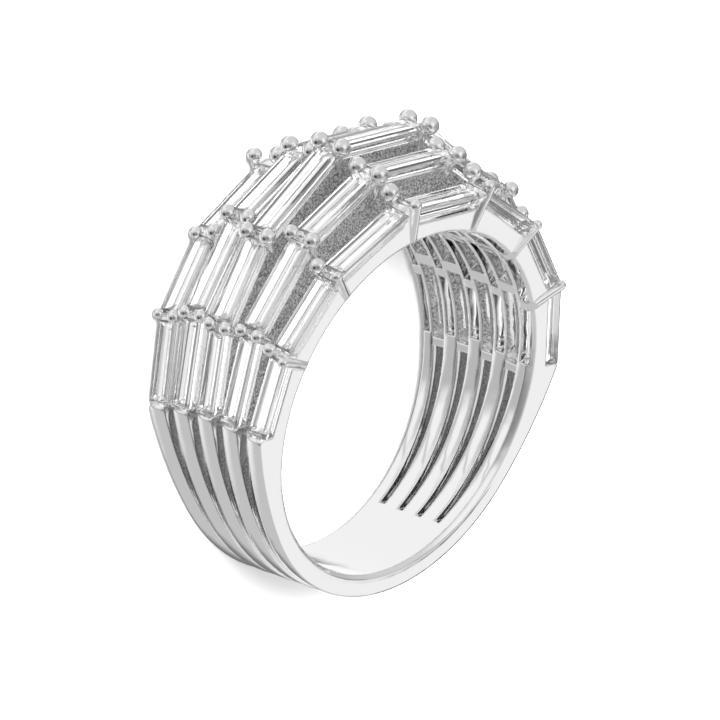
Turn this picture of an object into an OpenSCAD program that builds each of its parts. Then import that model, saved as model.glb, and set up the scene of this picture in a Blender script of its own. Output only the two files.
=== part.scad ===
// A white gold band with five fanned rows of baguette-cut stones, lying on its side.
// Ring frame: x runs across the finger hole, y runs up to the head, z is the finger hole's axis.
// Each row is a flat plate in its own plane, and the planes fan out towards the head.

/* [Finger hole] */
// Radius of the finger hole
bore_r = 8.65; // [8.3:0.05:9]
// Width of the bevel round each rim of the finger hole
rim_bevel = 0.27; // [0.15:0.01:0.3]

/* [Rows] */
// Drop from the finger hole's centre to the line that the rows fan out from
fan_drop = 29.7; // [28:0.1:32]
// Angle from one row to the next
fan_step = 2.98; // [2.8:0.02:3.1]
// Width of a row's metal
bar_w = 0.84; // [0.8:0.02:0.9]
// Width of the windows between a row's two side rails
window_w = 0.54; // [0.4:0.02:0.58]

/* [Shank] */
// Outer radius of the shank at its bottom
shank_r = 9.72; // [9.5:0.02:10]
// Angle from the head's top where the shank starts to thicken towards the shoulders
thicken_angle = 125; // [120:1:130]
// Depth of the grooves between the rows at the bottom of the shank
groove_depth = 0.06; // [0.02:0.02:0.2]
// Radius of the floor of the grooves where the slots between the rows open through it
slot_floor_r = 9.28; // [9.2:0.02:9.34]
// Height of that place below the centre
slot_end_drop = 3.6; // [3:0.1:4.2]
// Angle from the head's top where the slots close on the inside
slot_end_angle = 147; // [140:1:155]
// Radius of the outer corners at the bars' upper ends
corner_r = 0.22; // [0.1:0.02:0.3]

/* [Setting] */
// Bead diameters at the lower, middle and top joints
bead_d = [0.70, 0.82, 0.92]; // [0.6:0.02:1]
// Distance of a bead's centre from the middle of its row, at the same joints
bead_side = [0.51, 0.66, 0.70]; // [0.5:0.01:0.72]
// Diameter of the claws on the ring's two faces at the lower, middle and top joints
claw_d = [0.46, 0.44, 0.46]; // [0.36:0.02:0.48]
// Angle of the plane that touches the claws' caps on a face of the ring
claw_lean = 1.22; // [1:0.02:1.4]
// Diameter of the post under a bead
post_d = 0.36; // [0.3:0.02:0.5]
// Length of metal left between two windows of a row
pier_w = 0.50; // [0.4:0.02:0.7]
// By which the near row's top stone and its right joint sit further right than in the other rows
near_shift = 0.45; // [0.3:0.05:0.5]

/* [Stones] */
// Stone widths at the shoulder, lower, middle and top segments
stone_w = [1.08, 1.22, 1.36, 1.46]; // [1:0.02:1.5]
// Depth of the stones from the table down to the keel
stone_depth = 1.04; // [0.96:0.02:1.1]
// Gap from a stone's end to the joint
stone_end = 0.20; // [0.14:0.02:0.3]
// Gap from a lowest stone's end to the step that it stands over
step_gap = 0.06; // [0.04:0.02:0.2]
// Clearance between a stone and its seat
seat_gap = 0.02; // [0.01:0.01:0.04]
// Depth of the outer rows' tables below the bead centres, at the shoulder and the three joints
outer_table_drop = [0.05, 0.05, 0.10, 0.47]; // [0:0.01:0.5]
// The same for the three inner rows, whose tables lie above the bead centres
inner_table_drop = [-0.15, -0.17, -0.12, -0.06]; // [-0.2:0.01:0.1]
// Depth of the outer rows' side rails below the bead centres, at the same places
outer_rail_drop = [0.91, 0.94, 0.99, 1.14]; // [0.85:0.01:1.2]
// The same for the three inner rows
inner_rail_drop = [0.76, 0.79, 0.84, 0.76]; // [0.7:0.01:0.9]

/* [Hidden] */
$fn = 48;
rows = [-2 : 2];
segments = [0 : 6];
joints = [1 : 6];

// Joints of a row, from the shoulder up to the top: across, up
// The rows are domed: the centre row stands highest, and its neighbours' middle joint sits higher
joint_table = [
    // outer rows
    [[10.74, 0.23], [9.99, 4.46], [7.28, 8.15], [2.73, 11.05]],
    // second rows
    [[10.80, 0.44], [10.06, 4.99], [7.12, 9.32], [2.80, 11.87]],
    // centre row
    [[10.77, 0.54], [10.30, 4.91], [8.00, 9.09], [3.17, 12.67]],
];

// Caps of the claws at joints 1 to 6: place along the row from the joint, height above the bead
// line, diameter, and place of the claw's foot along the row
near_caps = [
    [-0.30, -0.14, 0.54, -0.05],
    [0, -0.15, 0.52, 0],
    [near_shift, -0.44, 0.62, near_shift - 0.07],
    [0, -0.30, 0.62, 0.05],
    [0, -0.15, 0.52, 0],
    [0, -0.14, 0.52, 0],
];
far_caps = [
    [0, 0.04, 0.56, 0],
    [-0.20, -0.14, 0.66, -0.10],
    [-0.40, 0, 0.74, -0.20],
    [0.40, 0, 0.74, 0.20],
    [0.20, -0.14, 0.66, 0.10],
    [0, 0.04, 0.56, 0],
];

// Cut of a stone: inset from the edge as a share of its width, height as a share of its depth
crown_cut = [[0.12, 0], [0.05, 0.07], [0, 0.16]];
pavilion_cut = [[0, 0.20], [0.10, 0.46], [0.24, 0.74], [0.46, 1]];

wall_foot = 0.5;          // how far the walls reach into the finger hole before it is bored
wall_root = 0.5;          // how far the walls reach down into the shank
dip_depth = 0.34;         // by which the outer rows' top wall is lower between its two claws
dip_half = 2.5;           // half the length of that lower part
post_foot = 1.3;          // depth of a bead post's foot below the bead's centre
claw_proud = 0.10;        // by which a claw's foot stands proud of the ring's face
pier_top = 0.5;           // drop from the bead line to the top of the metal between two stones
pier_inset = 0.02;        // by which a pier is narrower than its row, each side
bridge_h = 0.56;          // height of the bars that tie the rows together at the joints
bridge_w = [0.4, 0.62, 0.62, 0.62]; // their length along the rows, from the shoulder up
bridge_lift = [-0.3, 1, 0, 0];      // how far they stand above the joints' own radial lines
bridge_bite = 0.1;        // depth to which a bridge enters the rail beside it
web_t = 0.8;              // thickness of the webs, whose edges lie inside the rows
window_foot = 0.5;        // height of the lowest windows' lower ends above the step
window_depth = 5;         // from the tables down into the finger hole
notch_length = 1.3;       // length of the pointed notch where a slot runs out on the outside
shank_reach = 12;         // half width that takes in the whole shank
past = 1;                 // by which a crossed outline runs past the other one
big = 60;                 // larger than the ring

function stone_name(k, i) = str("baguette_r", k + 3, "_s", i + 1);
function kind(k) = 2 - abs(k);
function fold(i) = i < 4 ? i : 7 - i;
function unit(p) = p / norm(p);
function lean(k) = k * fan_step;

// Bead line of row k at joint i, in the row's own plane
function joint(k, i) =
    let (p = joint_table[kind(k)][fold(i)])
    [(i < 4 ? -p[0] : p[0]) + (k == 2 && i == 4 ? near_shift : 0), p[1] / cos(lean(k))];
// Point at depth d below the bead line of row k at joint i
function below(k, i, d) =
    let (p = joint(k, i))
    p - d * (fold(i) == 0 ? [sign(p[0]), 0] : unit(p));
// Table line and top of the side rails
function table_at(k, i) = below(k, i, (kind(k) == 0 ? outer_table_drop : inner_table_drop)[fold(i)]);
function wall_at(k, i) = below(k, i, (kind(k) == 0 ? outer_rail_drop : inner_rail_drop)[fold(i)]);
function seg_width(i) = stone_w[min(i, 6 - i)];
// Distance between neighbouring rows at height y
function pitch_at(y) = (y + fan_drop) * tan(fan_step);

// The ring's far face leans by two fan steps and stands on its claws and its bottom edge,
// so the ring rests tilted
rest_tilt = 2 * fan_step + claw_lean;

// Lowest point and centre height of the circle that the grooves' floor follows
floor_low = shank_r - groove_depth;
floor_y = (pow(slot_floor_r, 2) - pow(floor_low, 2)) / (2 * (floor_low - slot_end_drop));

// Circle that thickens the shank towards a shoulder, touching the bottom circle
shoulder = joint_table[0][0];
thick_dir = [sin(thicken_angle), cos(thicken_angle)];
thick_off = (shoulder * shoulder - pow(shank_r, 2)) / (2 * (shank_r - shoulder * thick_dir));
// Half width of the shank at height y beside the shoulders
function thick_x(y) = sqrt(pow(shank_r + thick_off, 2) - pow(y + thick_off * thick_dir[1], 2))
    - thick_off * thick_dir[0];

module in_row(k)
    translate([0, 0, fan_drop * tan(lean(k))]) rotate([lean(k), 0, 0]) children();

// Stone outline: half is half its length or width, w the width that its insets scale with
function cut_side(half, w, gap) = concat(
    [for (c = crown_cut) [half - c[0] * w + gap, -c[1] * stone_depth + gap]],
    [for (c = pavilion_cut) [half - c[0] * w + gap, -c[1] * stone_depth - gap]]);
function cut_outline(half, w, gap) =
    let (right = cut_side(half, w, gap), n = len(right))
    concat(right, [for (i = [n - 1 : -1 : 0]) [-right[i][0], right[i][1]]]);

module cut_stone(length, w, gap = 0) {
    intersection() {
        linear_extrude(height = w + past, center = true)
            polygon(cut_outline(length / 2, w, gap));
        rotate([0, 90, 0]) linear_extrude(height = length + past, center = true)
            polygon(cut_outline(w / 2, w, gap));
    }
}

// Places a child on segment i of row k: x along the row, y out of the table, z across the row
module on_segment(k, i) {
    a = table_at(k, i);
    b = table_at(k, i + 1);
    d = b - a;
    in_row(k) translate((a + b) / 2) rotate([0, 0, atan2(d[1], d[0])]) children();
}
function seg_length(k, i) = norm(table_at(k, i + 1) - table_at(k, i));

// What segment i of row k gains at its two ends, with gain at the lower end of a lowest segment
function gains(k, i, gain) = [
    i == 0 ? gain : k == 2 && i == 3 ? -near_shift : 0,
    i == 6 ? gain : 0,
];

module stone(k, i, gap = 0) {
    more = gains(k, i, stone_end - step_gap);
    on_segment(k, i) translate([(more[1] - more[0]) / 2, 0, 0])
        cut_stone(seg_length(k, i) - 2 * stone_end + more[0] + more[1], seg_width(i), gap);
}

// Places a child at joint i of row k: x along the row, y outward, z across the row
module at_joint(k, i) {
    p = joint(k, i);
    in_row(k) translate(p) rotate([0, 0, atan2(p[1], p[0]) - 90]) children();
}

module shank_outline(k) {
    step_y = joint(k, 0)[1];
    difference() {
        union() {
            circle(r = shank_r, $fn = 96);
            for (s = [-1, 1]) intersection() {
                translate([-s * thick_off * thick_dir[0], -thick_off * thick_dir[1]])
                    circle(r = shank_r + thick_off, $fn = 192);
                polygon([[0, 0], [0, shank_reach], [s * shank_reach, shank_reach],
                    [s * shank_reach, shank_reach / tan(thicken_angle)]]);
            }
        }
        translate([-big / 2, step_y]) square([big, big]);
        for (s = [0, 1]) mirror([s, 0]) translate([thick_x(step_y - corner_r), step_y] - [corner_r, corner_r])
            difference() {
                square([past, past]);
                circle(r = corner_r);
            }
    }
}

// Walls under the stones of row k, rooted in the shank
module wall_outline(k) {
    foot = bore_r - wall_foot;
    step = [wall_at(k, 7)[0], wall_at(k, 7)[1] - wall_root];
    difference() {
        polygon(concat(
            [[foot, step[1]], step],
            [for (i = [7 : -1 : 0]) wall_at(k, i)],
            [[-step[0], step[1]], [-foot, step[1]]],
            [for (i = [0 : 7]) foot * unit(wall_at(k, i))]));
        if (kind(k) == 0)
            translate([(k == 2 ? near_shift : 0) - dip_half, wall_at(k, 3)[1] - dip_depth])
                square([2 * dip_half, past]);
    }
}

module row_plate(k)
    in_row(k) linear_extrude(height = bar_w, center = true) {
        shank_outline(k);
        wall_outline(k);
    }

// Windows under the stones of row k
module row_windows(k) {
    for (i = segments) {
        more = gains(k, i, pier_w / 2 - window_foot);
        on_segment(k, i) translate([(more[1] - more[0]) / 2, -window_depth / 2, 0])
            cube([seg_length(k, i) - pier_w + more[0] + more[1], window_depth, window_w], center = true);
    }
}

// Round bar of diameter d between two points
module rod(a, b, d) {
    along = b - a;
    translate(a) rotate([0, acos(along[2] / norm(along)), atan2(along[1], along[0])])
        cylinder(d = d, h = norm(along));
}

// Post from the row's body out to the bead on one side
module bead_post(k, i, side) {
    j = fold(i) - 1;
    foot = [0, -post_foot, side * (bar_w - post_d) / 2];
    head = [0, 0, side * bead_side[j]];
    at_joint(k, i) {
        rod(foot, head, post_d);
        translate(head) sphere(d = bead_d[j]);
    }
}

// Claw on the ring's face: a round bar that leans out from the rim, with a cap over the stones' edges
// The caps stand out by as much as the plane that the ring would lie on at that height
module claw(k, i) {
    side = sign(k);
    face = side > 0 ? near_caps : far_caps;
    cap = face[i - 1];
    d = claw_d[fold(i) - 1];
    p = joint(k, i);
    cap_y = p[1] + (cap[1] * p[1] - cap[0] * p[0]) / norm(p);
    proud = tan(claw_lean) * (shank_r + cap_y);
    foot = [cap[3], bore_r + rim_bevel - norm(p), (bar_w - d) / 2 + claw_proud];
    head = [cap[0], cap[1], (bar_w - d) / 2 + proud];
    at_joint(k, i) mirror([0, 0, side > 0 ? 0 : 1]) {
        rod(foot, head, d);
        translate(head + [0, 0, (d - cap[2]) / 2]) sphere(d = cap[2]);
    }
}

module joint_metal(k, i) {
    pier_h = norm(joint(k, i)) - pier_top - bore_r + wall_foot;
    pier = bar_w - 2 * pier_inset;
    at_joint(k, i) translate([-pier_w / 2, -pier_h - pier_top, -pier / 2]) cube([pier_w, pier_h, pier]);
    for (side = [-1, 1]) {
        if (side * k == 2) claw(k, i);
        else bead_post(k, i, side);
    }
}

module row_metal(k)
    difference() {
        union() {
            difference() {
                row_plate(k);
                row_windows(k);
            }
            for (i = joints) joint_metal(k, i);
        }
        for (i = segments) stone(k, i, seat_gap);
    }

// Bar that ties row k to the next one at joint i
module bridge(k, i) {
    j = fold(i);
    middle = (joint(k, i) + joint(k + 1, i)) / 2 + [0, bridge_lift[j]];
    place = (bore_r + bridge_h / 2 - bridge_bite) * unit(middle);
    in_row(k + 0.5) translate(place) rotate([0, 0, atan2(place[1], place[0]) - 90])
        cube([bridge_w[j], bridge_h, pitch_at(place[1]) - bar_w + 2 * bridge_bite], center = true);
}

// Web that closes the slot between row k and the next one, round the bottom of the shank
// Its upper ends have a pointed notch, as wide as the slot at the top
module web(k)
    in_row(k + 0.5) difference() {
        linear_extrude(height = web_t, center = true) difference() {
            translate([0, floor_y]) circle(r = floor_low + floor_y, $fn = 96);
            intersection() {
                circle(r = slot_floor_r, $fn = 96);
                translate([-big / 2, bore_r * cos(slot_end_angle)]) square([big, big]);
            }
            translate([-big / 2, 0]) square([big, big]);
        }
        notch_half = (pitch_at(-slot_end_drop) - bar_w) / 2;
        rotate([0, 90, 0]) linear_extrude(height = big, center = true)
            polygon([[0, -slot_end_drop - notch_length],
                [notch_half, -slot_end_drop], [notch_half, 0], [-notch_half, 0], [-notch_half, -slot_end_drop]]);
    }

// Bevel round the rim of the finger hole, on the face of the outer row at one side
// The cone starts inside the hole and runs past the face
module rim_cut(side) {
    shift = bar_w / 2 * tan(2 * fan_step);
    in_row(2 * side) mirror([0, 0, side > 0 ? 0 : 1]) translate([0, shift, bar_w / 2 - 2 * rim_bevel])
        cylinder(r1 = bore_r - rim_bevel, r2 = bore_r + 2 * rim_bevel, h = 3 * rim_bevel, $fn = 96);
}

module ring_metal()
    difference() {
        union() {
            for (k = rows) row_metal(k);
            for (k = [-2 : 1]) {
                web(k);
                for (i = [0 : 7]) bridge(k, i);
            }
        }
        cylinder(r = bore_r, h = big, center = true, $fn = 192);
        for (side = [-1, 1]) rim_cut(side);
    }

module band()
    color([0.86, 0.86, 0.87]) rotate([rest_tilt, 0, 0]) ring_metal();

module baguette(k, i)
    color([0.93, 0.95, 0.98]) rotate([rest_tilt, 0, 0]) stone(k, i);

band();
for (k = rows) for (i = segments)
    baguette(k, i);
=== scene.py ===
# %% [markdown]
# # A white gold band with fanned rows of baguette-cut stones
# The ring is one cast band and 35 stones. They could be modelled again in Blender, but the
# CAD solids already have every facet, window and prong in its place, so they are shown as
# they are. This lesson gives them their polished, cast and cut surfaces, and lights them as
# a jeweller's photograph would.

# %% Load the packed model
import math
import bpy
from mathutils import Matrix, Vector


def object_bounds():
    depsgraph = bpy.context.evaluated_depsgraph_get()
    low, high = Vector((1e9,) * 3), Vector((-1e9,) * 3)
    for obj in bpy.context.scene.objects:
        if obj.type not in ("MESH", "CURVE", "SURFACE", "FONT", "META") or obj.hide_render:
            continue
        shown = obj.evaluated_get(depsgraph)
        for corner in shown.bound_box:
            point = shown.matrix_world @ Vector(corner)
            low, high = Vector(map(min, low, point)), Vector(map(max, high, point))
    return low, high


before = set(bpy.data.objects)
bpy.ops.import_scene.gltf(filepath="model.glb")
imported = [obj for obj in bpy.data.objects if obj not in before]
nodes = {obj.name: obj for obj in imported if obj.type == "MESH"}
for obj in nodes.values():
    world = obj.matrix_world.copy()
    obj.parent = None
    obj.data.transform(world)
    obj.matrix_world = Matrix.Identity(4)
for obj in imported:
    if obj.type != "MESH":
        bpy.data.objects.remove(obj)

MM = 0.001  # in metres
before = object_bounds()
print("pieces", len(nodes), "size in mm", [round((b - a) / MM, 2) for a, b in zip(*before)])

# %% [markdown]
# The ring was drawn upright, with its finger hole's axis along Z, then laid on its far face,
# as a ring rests by itself. The camera could be turned by hand until the picture looks
# right. Here it keeps the photograph's angle to the ring instead: it is placed in the
# upright frame, far off with a long lens, and then turned with the ring.

# %% Camera
REST_TILT = math.radians(7.18)
LAID = Matrix.Rotation(REST_TILT, 4, "X")
AZIMUTH, ELEVATION, ROLL = 49.66, 17.36, 4.57  # degrees, in the upright frame
DISTANCE, SHIFT = 1066.3, (-0.257, -1.273)  # mm, along the view and across it
FOCAL_PIXELS, FRAME_PIXELS = 22362.2, 720
SENSOR, CLIP = 36, (0.1, 10)  # mm and metres

def camera_axes(azimuth, elevation, roll):
    a, e, r = (math.radians(x) for x in (azimuth, elevation, roll))
    right = Vector((math.cos(a), 0, math.sin(a)))
    back = Vector((-math.sin(a) * math.cos(e), math.sin(e), math.cos(a) * math.cos(e)))
    up = back.cross(right)
    return (math.cos(r) * right + math.sin(r) * up, math.cos(r) * up - math.sin(r) * right, back)

right, up, back = camera_axes(AZIMUTH, ELEVATION, ROLL)
pose = Matrix((right, up, back)).transposed().to_4x4()
pose.translation = (-SHIFT[0] * right - SHIFT[1] * up + DISTANCE * back) * MM
camera = bpy.data.objects.new("camera", bpy.data.cameras.new("camera"))
camera.matrix_world = LAID @ pose
camera.data.sensor_width = SENSOR
camera.data.lens = FOCAL_PIXELS / FRAME_PIXELS * SENSOR
camera.data.clip_start, camera.data.clip_end = CLIP
bpy.context.scene.collection.objects.link(camera)
bpy.context.scene.camera = camera
print("camera looks down by", round(math.degrees(math.asin((LAID @ back).z)), 1), "degrees")

# %% [markdown]
# The photograph is high-key: its background and its brightest metal are plain white, which
# Blender's usual AgX view would turn grey. A higher exposure could bring the white back, but
# it would wash out the greys of the metal. The Standard view keeps both.

# %% View
bpy.context.scene.view_settings.view_transform = "Standard"
print("view", bpy.context.scene.view_settings.view_transform)

# %% [markdown]
# Materials could be clicked together in the node editor. In a script, a few small helpers
# keep them short: one makes a node, sets its inputs and links sockets that are given
# instead of values, and the others make the nodes that are needed again and again.

# %% Node helpers
# The numbers of a Mix node's two values and of its result
MIX_SOCKETS = {"FLOAT": (2, 3, 0), "VECTOR": (4, 5, 1), "RGBA": (6, 7, 2)}

class Graph:
    def __init__(self, tree):
        self.tree = tree

    def node(self, kind, _props=None, **inputs):
        n = self.tree.nodes.new(kind)
        for key, value in (_props or {}).items():
            setattr(n, key, value)
        for key, value in inputs.items():
            by_number = key[0] == "i" and key[1:].isdigit()
            self.put(n.inputs[int(key[1:]) if by_number else key.replace("_", " ")], value)
        return n

    def put(self, socket, value):
        if isinstance(value, bpy.types.NodeSocket):
            self.tree.links.new(value, socket)
        else:
            socket.default_value = value

    def math(self, op, a, b=0.0):
        return self.node("ShaderNodeMath", {"operation": op}, i0=a, i1=b).outputs[0]

    def product(self, first, *others):
        for other in others:
            first = self.math("MULTIPLY", first, other)
        return first

    # Goes from low to high while by goes from 0 to 1
    def ranged(self, by, low, high):
        return self.math("ADD", low, self.math("MULTIPLY", by, high - low))

    # Goes smoothly from 0 at start to 1 at full, which may be the lower of the two
    def step(self, value, start, full):
        return self.node("ShaderNodeMapRange", {"interpolation_type": "SMOOTHSTEP"},
                         Value=value, From_Min=start, From_Max=full).outputs[0]

    # Gives a where by is 0 and b where it is 1
    def mix(self, by, a, b, kind="FLOAT"):
        first, second, result = MIX_SOCKETS[kind]
        n = self.node("ShaderNodeMix", {"data_type": kind}, Factor=by)
        self.put(n.inputs[first], a)
        self.put(n.inputs[second], b)
        return n.outputs[result]

    def noise(self, place, scale, detail):
        return self.node("ShaderNodeTexNoise", Vector=place, Scale=scale, Detail=detail).outputs[0]

    def grey(self, value):
        return self.node("ShaderNodeCombineColor", i0=value, i1=value, i2=value).outputs[0]

    def bump(self, height, distance, strength, **under):
        return self.node("ShaderNodeBump", Strength=strength, Distance=distance * MM,
                         Height=height, **under).outputs[0]

    def xyz(self, vector):
        return self.node("ShaderNodeSeparateXYZ", Vector=vector).outputs

def new_material(name):
    m = bpy.data.materials.new(name)
    m.use_nodes = True
    m.node_tree.nodes.clear()
    return m, Graph(m.node_tree)

def new_group(name, vectors, floats):
    tree = bpy.data.node_groups.new(name, "ShaderNodeTree")
    for kind, sockets in (("NodeSocketVector", vectors), ("NodeSocketFloat", floats)):
        for socket in sockets:
            tree.interface.new_socket(socket, in_out="OUTPUT", socket_type=kind)
    return tree, Graph(tree)

print("node helpers:", ", ".join(name for name in vars(Graph) if name[0] != "_"))

# %% [markdown]
# Both finishes follow from where a point lies on the ring, so both groups start with the
# place in mm and the face's own normal, turned back into the upright frame. The rows fan
# out from a point far below the ring, and the angle from that point says which row is
# nearest and how far off its middle a point is. Painted masks could do the same, but they
# would need a mesh that stays the same whenever the CAD changes.

# %% Where a point lies
FAN_DROP = 29.7  # from the ring's middle down to the point that the rows fan out from, in mm
FAN_STEP = math.radians(2.98)
BORE_R = 8.65  # the finger hole's radius, in mm
UPRIGHT = (-REST_TILT, 0, 0)

def place_and_normal(g):
    coords = g.node("ShaderNodeTexCoord").outputs["Object"]
    place = g.node("ShaderNodeMapping", {"vector_type": "POINT"}, Vector=coords,
                   Rotation=UPRIGHT, Scale=(1 / MM, 1 / MM, 1 / MM)).outputs[0]
    facet = g.node("ShaderNodeNewGeometry").outputs["True Normal"]
    normal = g.node("ShaderNodeMapping", {"vector_type": "NORMAL"}, Vector=facet,
                    Rotation=UPRIGHT).outputs[0]
    return place, normal

def radius_at(g, x, y):
    return g.math("SQRT", g.math("ADD", g.math("MULTIPLY", x, x), g.math("MULTIPLY", y, y)))

def off_row(g, y, z):
    height = g.math("ADD", y, FAN_DROP)
    row = g.math("ROUND", g.math("DIVIDE", g.math("ARCTAN2", z, height), FAN_STEP))
    lean = g.math("MULTIPLY", row, FAN_STEP)
    return g.math("SUBTRACT", g.math("MULTIPLY", z, g.math("COSINE", lean)),
                  g.math("MULTIPLY", height, g.math("SINE", lean)))

print("rows stand", round((FAN_DROP + BORE_R) * math.tan(FAN_STEP), 2), "mm apart over the hole")

# %% [markdown]
# Outer walls, bore and bars were polished on a wheel, but a wheel doesn't reach between the
# rows, so the side walls there keep the grain of the casting, apart from a strip by the
# finger hole. Deep in the slots of the shank a narrow strip of it is left too. Two materials
# on one mesh could show this, but their border would follow the mesh's faces, so masks in
# one material were chosen.
# Polishing has also left the bars slightly crowned, so that each shows a soft gradient. The
# smooth bottom of the finger hole has no bars and no crown.

# %% Where the casting grain shows
OUTER_ROW = 2  # rows on each side of the middle one
HALF_BAR = 0.42  # half of a bar's width, in mm
CROWN = 0.22  # how fast a polished bar falls off towards its edges, in mm per mm squared
# Each pair says where a mask starts and where it is full, in mm if nothing else is said
INSIDE_FACES = (HALF_BAR - 0.02, HALF_BAR - 0.1)  # from an outer row's middle
SIDE_WALL = (0.9, 0.97)  # the normal's share along the finger
GAP_SIDE = (0.31, 0.37)  # from a row's middle, past its window's walls
OUT_OF_REACH = (BORE_R + 0.6, BORE_R + 0.95)  # radius of the grain between the rows
HEAD = (-0.2, 0.6)  # height
SHANK = HEAD[::-1]
STRIP_START = (BORE_R + 0.25, BORE_R + 0.4)  # radius of the strip in a slot
STRIP_END = (BORE_R + 0.9, BORE_R + 0.75)
BAR_BACKS = (BORE_R + 0.15, BORE_R + 0.45)  # radius, past the finger hole's own surface
ABOVE_BOTTOM = (-7.6, -5.0)  # height, past the smooth bottom of the finger hole

def ring_place_group():
    tree, g = new_group("ring place", ["Place"], ["Cast", "Gap", "Crown"])
    place, normal = place_and_normal(g)
    x, y, z = g.xyz(place)
    across = g.math("ABSOLUTE", g.xyz(normal)[2])
    radius = radius_at(g, x, y)
    lean = OUTER_ROW * FAN_STEP
    face = g.math("SUBTRACT", g.math("MULTIPLY", g.math("ABSOLUTE", z), math.cos(lean)),
                  g.math("MULTIPLY", g.math("ADD", y, FAN_DROP), math.sin(lean)))
    off = g.math("ABSOLUTE", off_row(g, y, z))
    # Gap and slot also say where the grain's grey is partly painted shade, darkest deep in the
    # slots
    gap = g.product(g.step(radius, *OUT_OF_REACH), g.step(y, *HEAD), g.step(off, *GAP_SIDE))
    slot = g.product(g.step(radius, *STRIP_START), g.step(radius, *STRIP_END), g.step(y, *SHANK))
    cast = g.product(g.step(face, *INSIDE_FACES), g.step(across, *SIDE_WALL),
                     g.math("MAXIMUM", gap, slot))
    near = g.math("MINIMUM", off, HALF_BAR)
    bars = g.math("MAXIMUM", g.step(radius, *BAR_BACKS), g.step(y, *ABOVE_BOTTOM))
    crown = g.product(g.product(near, near), g.product(bars, -CROWN))
    g.node("NodeGroupOutput", Place=place, Cast=cast, Gap=gap, Crown=crown)
    return tree

RING_PLACE = ring_place_group()
print("a bar's crown is", round(CROWN * HALF_BAR ** 2, 3), "mm high")

# %% [markdown]
# White gold: a polished metal with faint wheel marks and a slight waviness, edges that the
# polishing has rounded, and grey casting grain where no wheel reached; the grain's dark grey
# is partly painted shade, darkest deep in the slots. Rounded edges could be cut into the mesh,
# but the CAD mesh stays as it is, so the shader rounds them. Seen through a stone it is plain
# polished metal in a lighter colour without the grain's grey, which is painted light in what
# the stones show; finer detail there would only turn to noise.

# %% White gold
# Painted light: behind a stone the metal is a shade lighter and drops the grain's grey, which
# lightens what the stones show
POLISHED, LIGHTER_BEHIND_STONE = (0.88, 0.88, 0.885, 1), (0.9, 0.9, 0.905, 1)
POLISH_ROUGHNESS, CAST_ROUGHNESS = (0.035, 0.105), 0.30  # the pair: without and with wheel marks
EDGE_RADIUS = 0.16  # mm
MARKS, WAVES, SPECKLE = (9.0, 4.0), (0.7, 1.0), (11.0, 3.0)  # noises: scale per mm, detail
GRAINS_PER_MM = 11.0
CROWN_BUMP, WAVE_BUMP, GRAIN_BUMP = (1.0, 1.0), (0.09, 0.5), (0.06, 1.0)  # mm, strength
SPECK_EDGE = (0.38, 0.62)  # the noise's values between which a speck turns from dark to light
# Casting grain in a slot and in a gap: its darkest tone (partly painted shade), how much lighter a
# speck is, its depth
GRAIN_AND_SHADE_DARK, SPECK_TONE, GRAIN_DEPTH = (0.16, 0.28), (0.15, 0.70), (0.3, 1.0)

def white_gold():
    m, g = new_material("white gold")
    where = g.node("ShaderNodeGroup", {"node_tree": RING_PLACE}).outputs
    place, cast, gap = where["Place"], where["Cast"], where["Gap"]
    grain = g.node("ShaderNodeTexVoronoi", Vector=place, Scale=GRAINS_PER_MM).outputs[0]
    speck = g.noise(place, *SPECKLE)
    rough = g.mix(cast, g.ranged(g.noise(place, *MARKS), *POLISH_ROUGHNESS), CAST_ROUGHNESS)
    # The grain's grey is partly painted shade: darkest deep in the slots, lighter in the gaps
    # between the rows
    lighter = g.product(g.step(speck, *SPECK_EDGE), g.ranged(gap, *SPECK_TONE))
    grain_and_shade_grey = g.math("ADD", lighter, g.ranged(gap, *GRAIN_AND_SHADE_DARK))
    tone = g.mix(cast, POLISHED, g.grey(grain_and_shade_grey), "RGBA")
    rounded = g.node("ShaderNodeBevel", {"samples": 8}, Radius=EDGE_RADIUS * MM).outputs[0]
    crowned = g.bump(where["Crown"], *CROWN_BUMP, Normal=rounded)
    waved = g.bump(g.noise(place, *WAVES), *WAVE_BUMP, Normal=crowned)
    grains = g.product(g.product(cast, g.math("ADD", grain, speck)), g.ranged(gap, *GRAIN_DEPTH))
    grained = g.bump(grains, *GRAIN_BUMP, Normal=waved)
    # Rays through a stone get the lighter plain colour: painted light in the metal seen through
    # the stones
    through = g.node("ShaderNodeLightPath").outputs["Is Transmission Ray"]
    plain = g.node("ShaderNodeNewGeometry").outputs["Normal"]
    shader = g.node("ShaderNodeBsdfPrincipled", Metallic=1.0, Roughness=rough,
                    Base_Color=g.mix(through, tone, LIGHTER_BEHIND_STONE, "RGBA"),
                    Normal=g.mix(through, grained, plain, "VECTOR"))
    g.node("ShaderNodeOutputMaterial", Surface=shader.outputs[0])
    return m

gold = white_gold()
print("white gold has", len(gold.node_tree.nodes), "nodes")

# %% [markdown]
# A baguette stone shows long parallel lines of light and dark: they are reflections in its
# step-cut facets, seen through the table. They could all be modelled as steps. The CAD stones
# have a few of them, and a noise paints the rest into the stone's colour as light and dark
# reflections: which line a point belongs to depends only on how far it lies from the middle
# of its row, so the lines run straight along the stone and no facet is added. The node group
# also tells the small end facets from the long ones by their normal.

# %% Lines along the stones
LINES_PER_MM = 3.2
SEEDS = 40.0  # the noise is shifted by up to this much from stone to stone
# Each pair says where a mask starts and where it is full, as shares of a facet's normal
NOT_TABLE, NOT_CULET = (0.85, 0.75), (-0.97, -0.9)  # outward from the finger hole's axis
NOT_LONG_SIDE = (0.22, 0.16)  # along the finger

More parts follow.
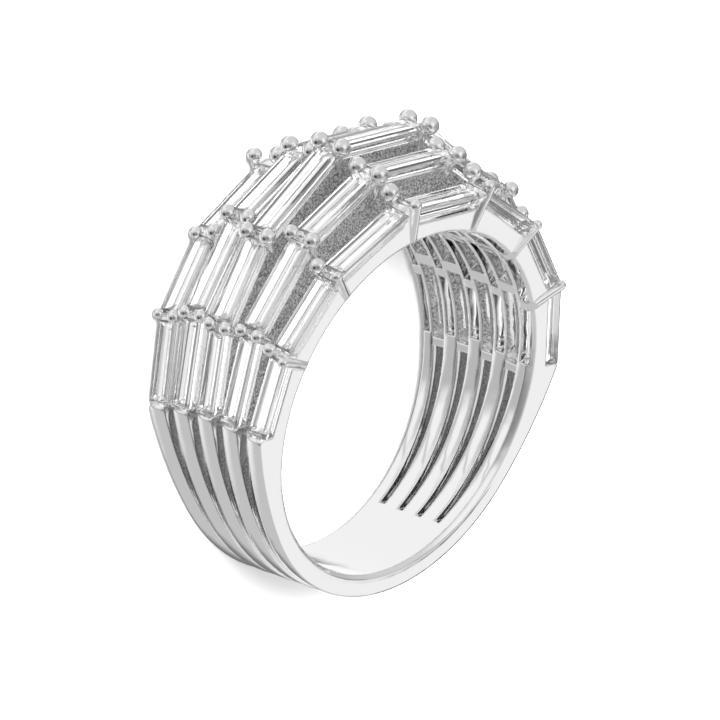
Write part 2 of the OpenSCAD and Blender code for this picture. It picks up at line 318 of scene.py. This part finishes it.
def stone_lines_group():
    tree, g = new_group("stone lines", ["Place"], ["Lines", "End"])
    place, normal = place_and_normal(g)
    x, y, z = g.xyz(place)
    nx, ny, nz = g.xyz(normal)
    seed = g.math("MULTIPLY", g.node("ShaderNodeObjectInfo").outputs["Random"], SEEDS)
    across = g.math("ADD", g.math("MULTIPLY", off_row(g, y, z), LINES_PER_MM), seed)
    lines = g.node("ShaderNodeTexNoise", {"noise_dimensions": "1D"}, W=across, Scale=1.0,
                   Detail=2.0, Roughness=0.6).outputs[0]
    outward = g.math("DIVIDE", g.math("ADD", g.math("MULTIPLY", x, nx), g.math("MULTIPLY", y, ny)),
                     radius_at(g, x, y))
    slanted = g.product(g.step(outward, *NOT_TABLE), g.step(outward, *NOT_CULET))
    end = g.product(g.step(g.math("ABSOLUTE", nz), *NOT_LONG_SIDE), slanted)
    g.node("NodeGroupOutput", Place=place, Lines=lines, End=end)
    return tree

STONE_LINES = stone_lines_group()
print("one group for", sum(name != "band" for name in nodes), "stones")

# %% [markdown]
# The stones are colourless with a high refractive index. A painted picture of facets would
# look wrong from any other side, so light takes its way through their modelled facets, and
# the lines are painted reflections in their colour, from white to grey. A real stone's small
# end facets break the light up into chips of light and dark. Light that bounces there too
# often is lost in a render, so a crackle in their normals and a faint mottled glow stand for
# it, and a fainter glow keeps the light's longest ways inside a stone from turning plain black.

# %% Clear stone
REFRACTIVE_INDEX = 2.417
BLUISH = 1.005  # how much more blue than red and green a line's tone has
# Painted reflections: the light and dark lines of the step facets, put into the stone's colour
PAINTED_REFLECTION_TONES = (  # the noise's value, the tone there
    (0.0, 0.60), (0.37, 0.65), (0.41, 0.9), (0.46, 1.0), (0.53, 1.0), (0.545, 0.6),
    (0.56, 0.35), (0.575, 0.8), (0.60, 1.0), (0.66, 0.95), (0.68, 0.7), (1.0, 0.75),
)
CHIPS_PER_MM, CHIP_LEVELS = 5.0, (0.15, 0.95)
CHIP_BUMP = (0.05, 0.6)  # mm, strength
END_FROST, END_GLOW = 0.2, 0.6
LONG_WAY, LONG_WAY_GLOW = (3.2, 3.8), 0.05  # reflections that light has behind it

def painted_reflection_tones(g, value):
    ramp = g.node("ShaderNodeValToRGB", Fac=value)
    elements = ramp.color_ramp.elements
    elements.remove(elements[1])
    for position, tone in PAINTED_REFLECTION_TONES:
        element = elements.new(position) if position > 0 else elements[0]
        element.color = (tone, tone, tone * BLUISH, 1)
    return ramp.outputs[0]

def clear_stone():
    m, g = new_material("clear stone")
    where = g.node("ShaderNodeGroup", {"node_tree": STONE_LINES}).outputs
    end = where["End"]
    crackle = g.node("ShaderNodeTexVoronoi", Vector=where["Place"], Scale=CHIPS_PER_MM).outputs
    shades = g.node("ShaderNodeSeparateColor", Color=crackle["Color"]).outputs[0]
    chips = g.step(shades, *CHIP_LEVELS)
    bounces = g.node("ShaderNodeLightPath").outputs["Glossy Depth"]
    glow = g.math("MAXIMUM", g.product(end, g.product(chips, chips, END_GLOW)),
                  g.product(g.step(bounces, *LONG_WAY), LONG_WAY_GLOW))
    broken = g.bump(g.product(crackle["Distance"], end), *CHIP_BUMP)
    # The stone's colour carries the painted reflections of its step facets
    shader = g.node("ShaderNodeBsdfPrincipled", Base_Color=painted_reflection_tones(g, where["Lines"]),
                    Roughness=g.product(end, END_FROST), IOR=REFRACTIVE_INDEX, Normal=broken,
                    Transmission_Weight=1.0, Emission_Color=g.grey(glow), Emission_Strength=1.0)
    g.node("ShaderNodeOutputMaterial", Surface=shader.outputs[0])
    return m

stone = clear_stone()
print("clear stone has", len(stone.node_tree.nodes), "nodes")

# %% [markdown]
# Each CAD piece keeps its mesh and gets its finish in place of the plain one. A copy could
# carry the finish instead, but then the CAD piece would have to be hidden behind it.

# %% Finishes on the pieces
for name, obj in nodes.items():
    obj.data.materials.clear()
    obj.data.materials.append(gold if name == "band" else stone)
print("pieces with a finish", len(nodes))

# %% [markdown]
# Floor: a plain pale sheet under the ring. A curved backdrop could hide its far edge, but the
# camera looks down and sees no edge. The sheet stays out of the metal's reflections: in the
# photograph the ring stands upright, so its walls look at the studio and not at the floor.

# %% Floor
HALF_FLOOR = 0.6  # metres
PALE, MATT = (0.93, 0.93, 0.93, 1), 0.8

def floor():
    mesh = bpy.data.meshes.new("floor")
    half, z = HALF_FLOOR, before[0].z
    corners = [(-half, -half, z), (half, -half, z), (half, half, z), (-half, half, z)]
    mesh.from_pydata(corners, [], [(0, 1, 2, 3)])
    obj = bpy.data.objects.new("floor", mesh)
    bpy.context.scene.collection.objects.link(obj)
    m, g = new_material("pale floor")
    shader = g.node("ShaderNodeBsdfPrincipled", Base_Color=PALE, Roughness=MATT)
    g.node("ShaderNodeOutputMaterial", Surface=shader.outputs[0])
    mesh.materials.append(m)
    obj.visible_glossy = False

floor()
print("floor at", round(before[0].z / MM, 2), "mm")

# %% [markdown]
# Light: a soft tent round the ring. It could be built from lamps and white boards, but
# polished metal shows the brightness of each direction, so the tent is drawn by direction,
# in the upright frame. White and dark cards hang where each surface looks: a white one for
# the near face, grey walls for the bars, a bright belt for the inside of the finger hole
# with a grey streak in it, and dark cards that draw thin lines along the rims and round the
# beads. A reflection of a reflection is lifted: metal that looks at metal would turn darker
# with each of them, and the photograph stays pale there.
# The stones gather their light from a tent of their own, with narrow gaps between its
# panels, and rough surfaces see an even one.

# %% Studio
TENT, SKY, UNDER = 0.54, 0.72, 0.60
SKY_EDGE, UNDER_EDGE = (0.1, 0.7), (-0.45, -0.7)  # height of a direction
CARDS = (  # direction, inner and outer edge in degrees, brightness
    ((-0.10, 0.45, 0.88), 8, 34, 1.0),
    ((0.64, -0.42, 0.64), 5, 30, 0.98),
    ((-0.20, -0.30, -0.93), 12, 30, 1.05),
    ((-0.94, -0.25, -0.05), 15, 27, 0.05),
    ((-0.78, -0.05, 0.62), 16, 38, 0.26),
    ((-0.57, 0.80, -0.20), 8, 20, 1.0),
    ((0.73, -0.30, -0.62), 16, 44, 0.22),
    ((0.90, -0.42, -0.05), 14, 26, 0.12),
    ((0.45, 0.12, 0.88), 6, 14, 0.12),
    ((0.88, 0.12, 0.45), 5, 12, 0.15),
)
# Edges of the belt and of the streak along two axes, and their brightness
BELT_Z, BELT_Y, BELT = ((-0.40, -0.54), (-0.82, -0.72)), (-0.05, 0.25), 1.0
STREAK_X, STREAK_Y, STREAK = ((-0.58, -0.54), (-0.48, -0.52)), (0.3, 0.4), 0.68
# Brightness of the stones' tent, and the scale and detail of the noise that parts its panels
STONE_TENT, STONE_PANELS = 1.2, (5.0, 1.0)
STONE_GAPS = (((0.51, 0.45), 0.74), ((0.41, 0.36), 0.26))  # edges in the noise, brightness
# From which reflection on the level is lifted, by what share, and to what brightness
SECOND_REFLECTION, LIFT, LIFTED = (1.2, 1.8), 0.7, 1.2
ROUGH_TENT = 1.12

def metal_tent(g, ray):
    x, y, z = g.xyz(ray)
    level = g.mix(g.step(y, *SKY_EDGE), TENT, SKY)
    level = g.mix(g.step(y, *UNDER_EDGE), level, UNDER)
    for direction, inner, outer, value in CARDS:
        facing = g.node("ShaderNodeVectorMath", {"operation": "DOT_PRODUCT"}, i0=ray,
                        i1=Vector(direction).normalized()).outputs["Value"]
        edge = [math.cos(math.radians(angle)) for angle in (outer, inner)]
        level = g.mix(g.step(facing, *edge), level, value)
    belt = g.product(*(g.step(z, *edge) for edge in BELT_Z))
    streak = g.product(*(g.step(x, *edge) for edge in STREAK_X))
    level = g.mix(g.product(belt, g.step(y, *BELT_Y)), level, BELT)
    return g.mix(g.product(belt, g.product(streak, g.step(y, *STREAK_Y))), level, STREAK)

def stone_tent(g, ray):
    panels = g.noise(ray, *STONE_PANELS)
    level = STONE_TENT
    for edge, value in STONE_GAPS:
        level = g.mix(g.step(panels, *edge), level, value)
    return level

def studio():
    world = bpy.data.worlds.new("studio")
    bpy.context.scene.world = world
    world.use_nodes = True
    world.node_tree.nodes.clear()
    g = Graph(world.node_tree)
    ray = g.node("ShaderNodeMapping", {"vector_type": "POINT"}, Rotation=UPRIGHT,
                 Vector=g.node("ShaderNodeTexCoord").outputs["Generated"]).outputs[0]
    path = g.node("ShaderNodeLightPath").outputs
    level = g.mix(path["Is Transmission Ray"], metal_tent(g, ray), stone_tent(g, ray))
    again = g.product(g.step(path["Glossy Depth"], *SECOND_REFLECTION), LIFT)
    level = g.mix(again, level, LIFTED)
    level = g.mix(path["Is Diffuse Ray"], level, ROUGH_TENT)
    shader = g.node("ShaderNodeBackground", Color=(1, 1, 1, 1), Strength=level)
    g.node("ShaderNodeOutputWorld", Surface=shader.outputs[0])
    return world

world = studio()
print("studio has", len(world.node_tree.nodes), "nodes and", len(CARDS), "cards")

# %% [markdown]
# One round lamp stands in for the studio's main light. The tent alone could light the floor,
# but then the ring would cast only a faint shadow. The lamp stays out of reflections and
# out of the stones, where its bright disk would show.

# %% Lamp
def softbox(name, direction, distance, size, power):
    light = bpy.data.lights.new(name, "AREA")
    light.shape = "DISK"
    light.size = size
    light.energy = power
    obj = bpy.data.objects.new(name, light)
    towards = Vector(direction).normalized()
    obj.location = towards * distance
    obj.rotation_euler = towards.to_track_quat("Z", "Y").to_euler()
    obj.visible_transmission = False
    obj.visible_glossy = False
    bpy.context.scene.collection.objects.link(obj)
    return obj

lamp = softbox("overhead", direction=(-0.3, 0.5, 1.0), distance=0.5, size=0.4, power=6.0)
print("lamp at", [round(v, 2) for v in lamp.location], "m")

# %% [markdown]
# Last: looks change no dimension, so the ring keeps the size printed after loading.
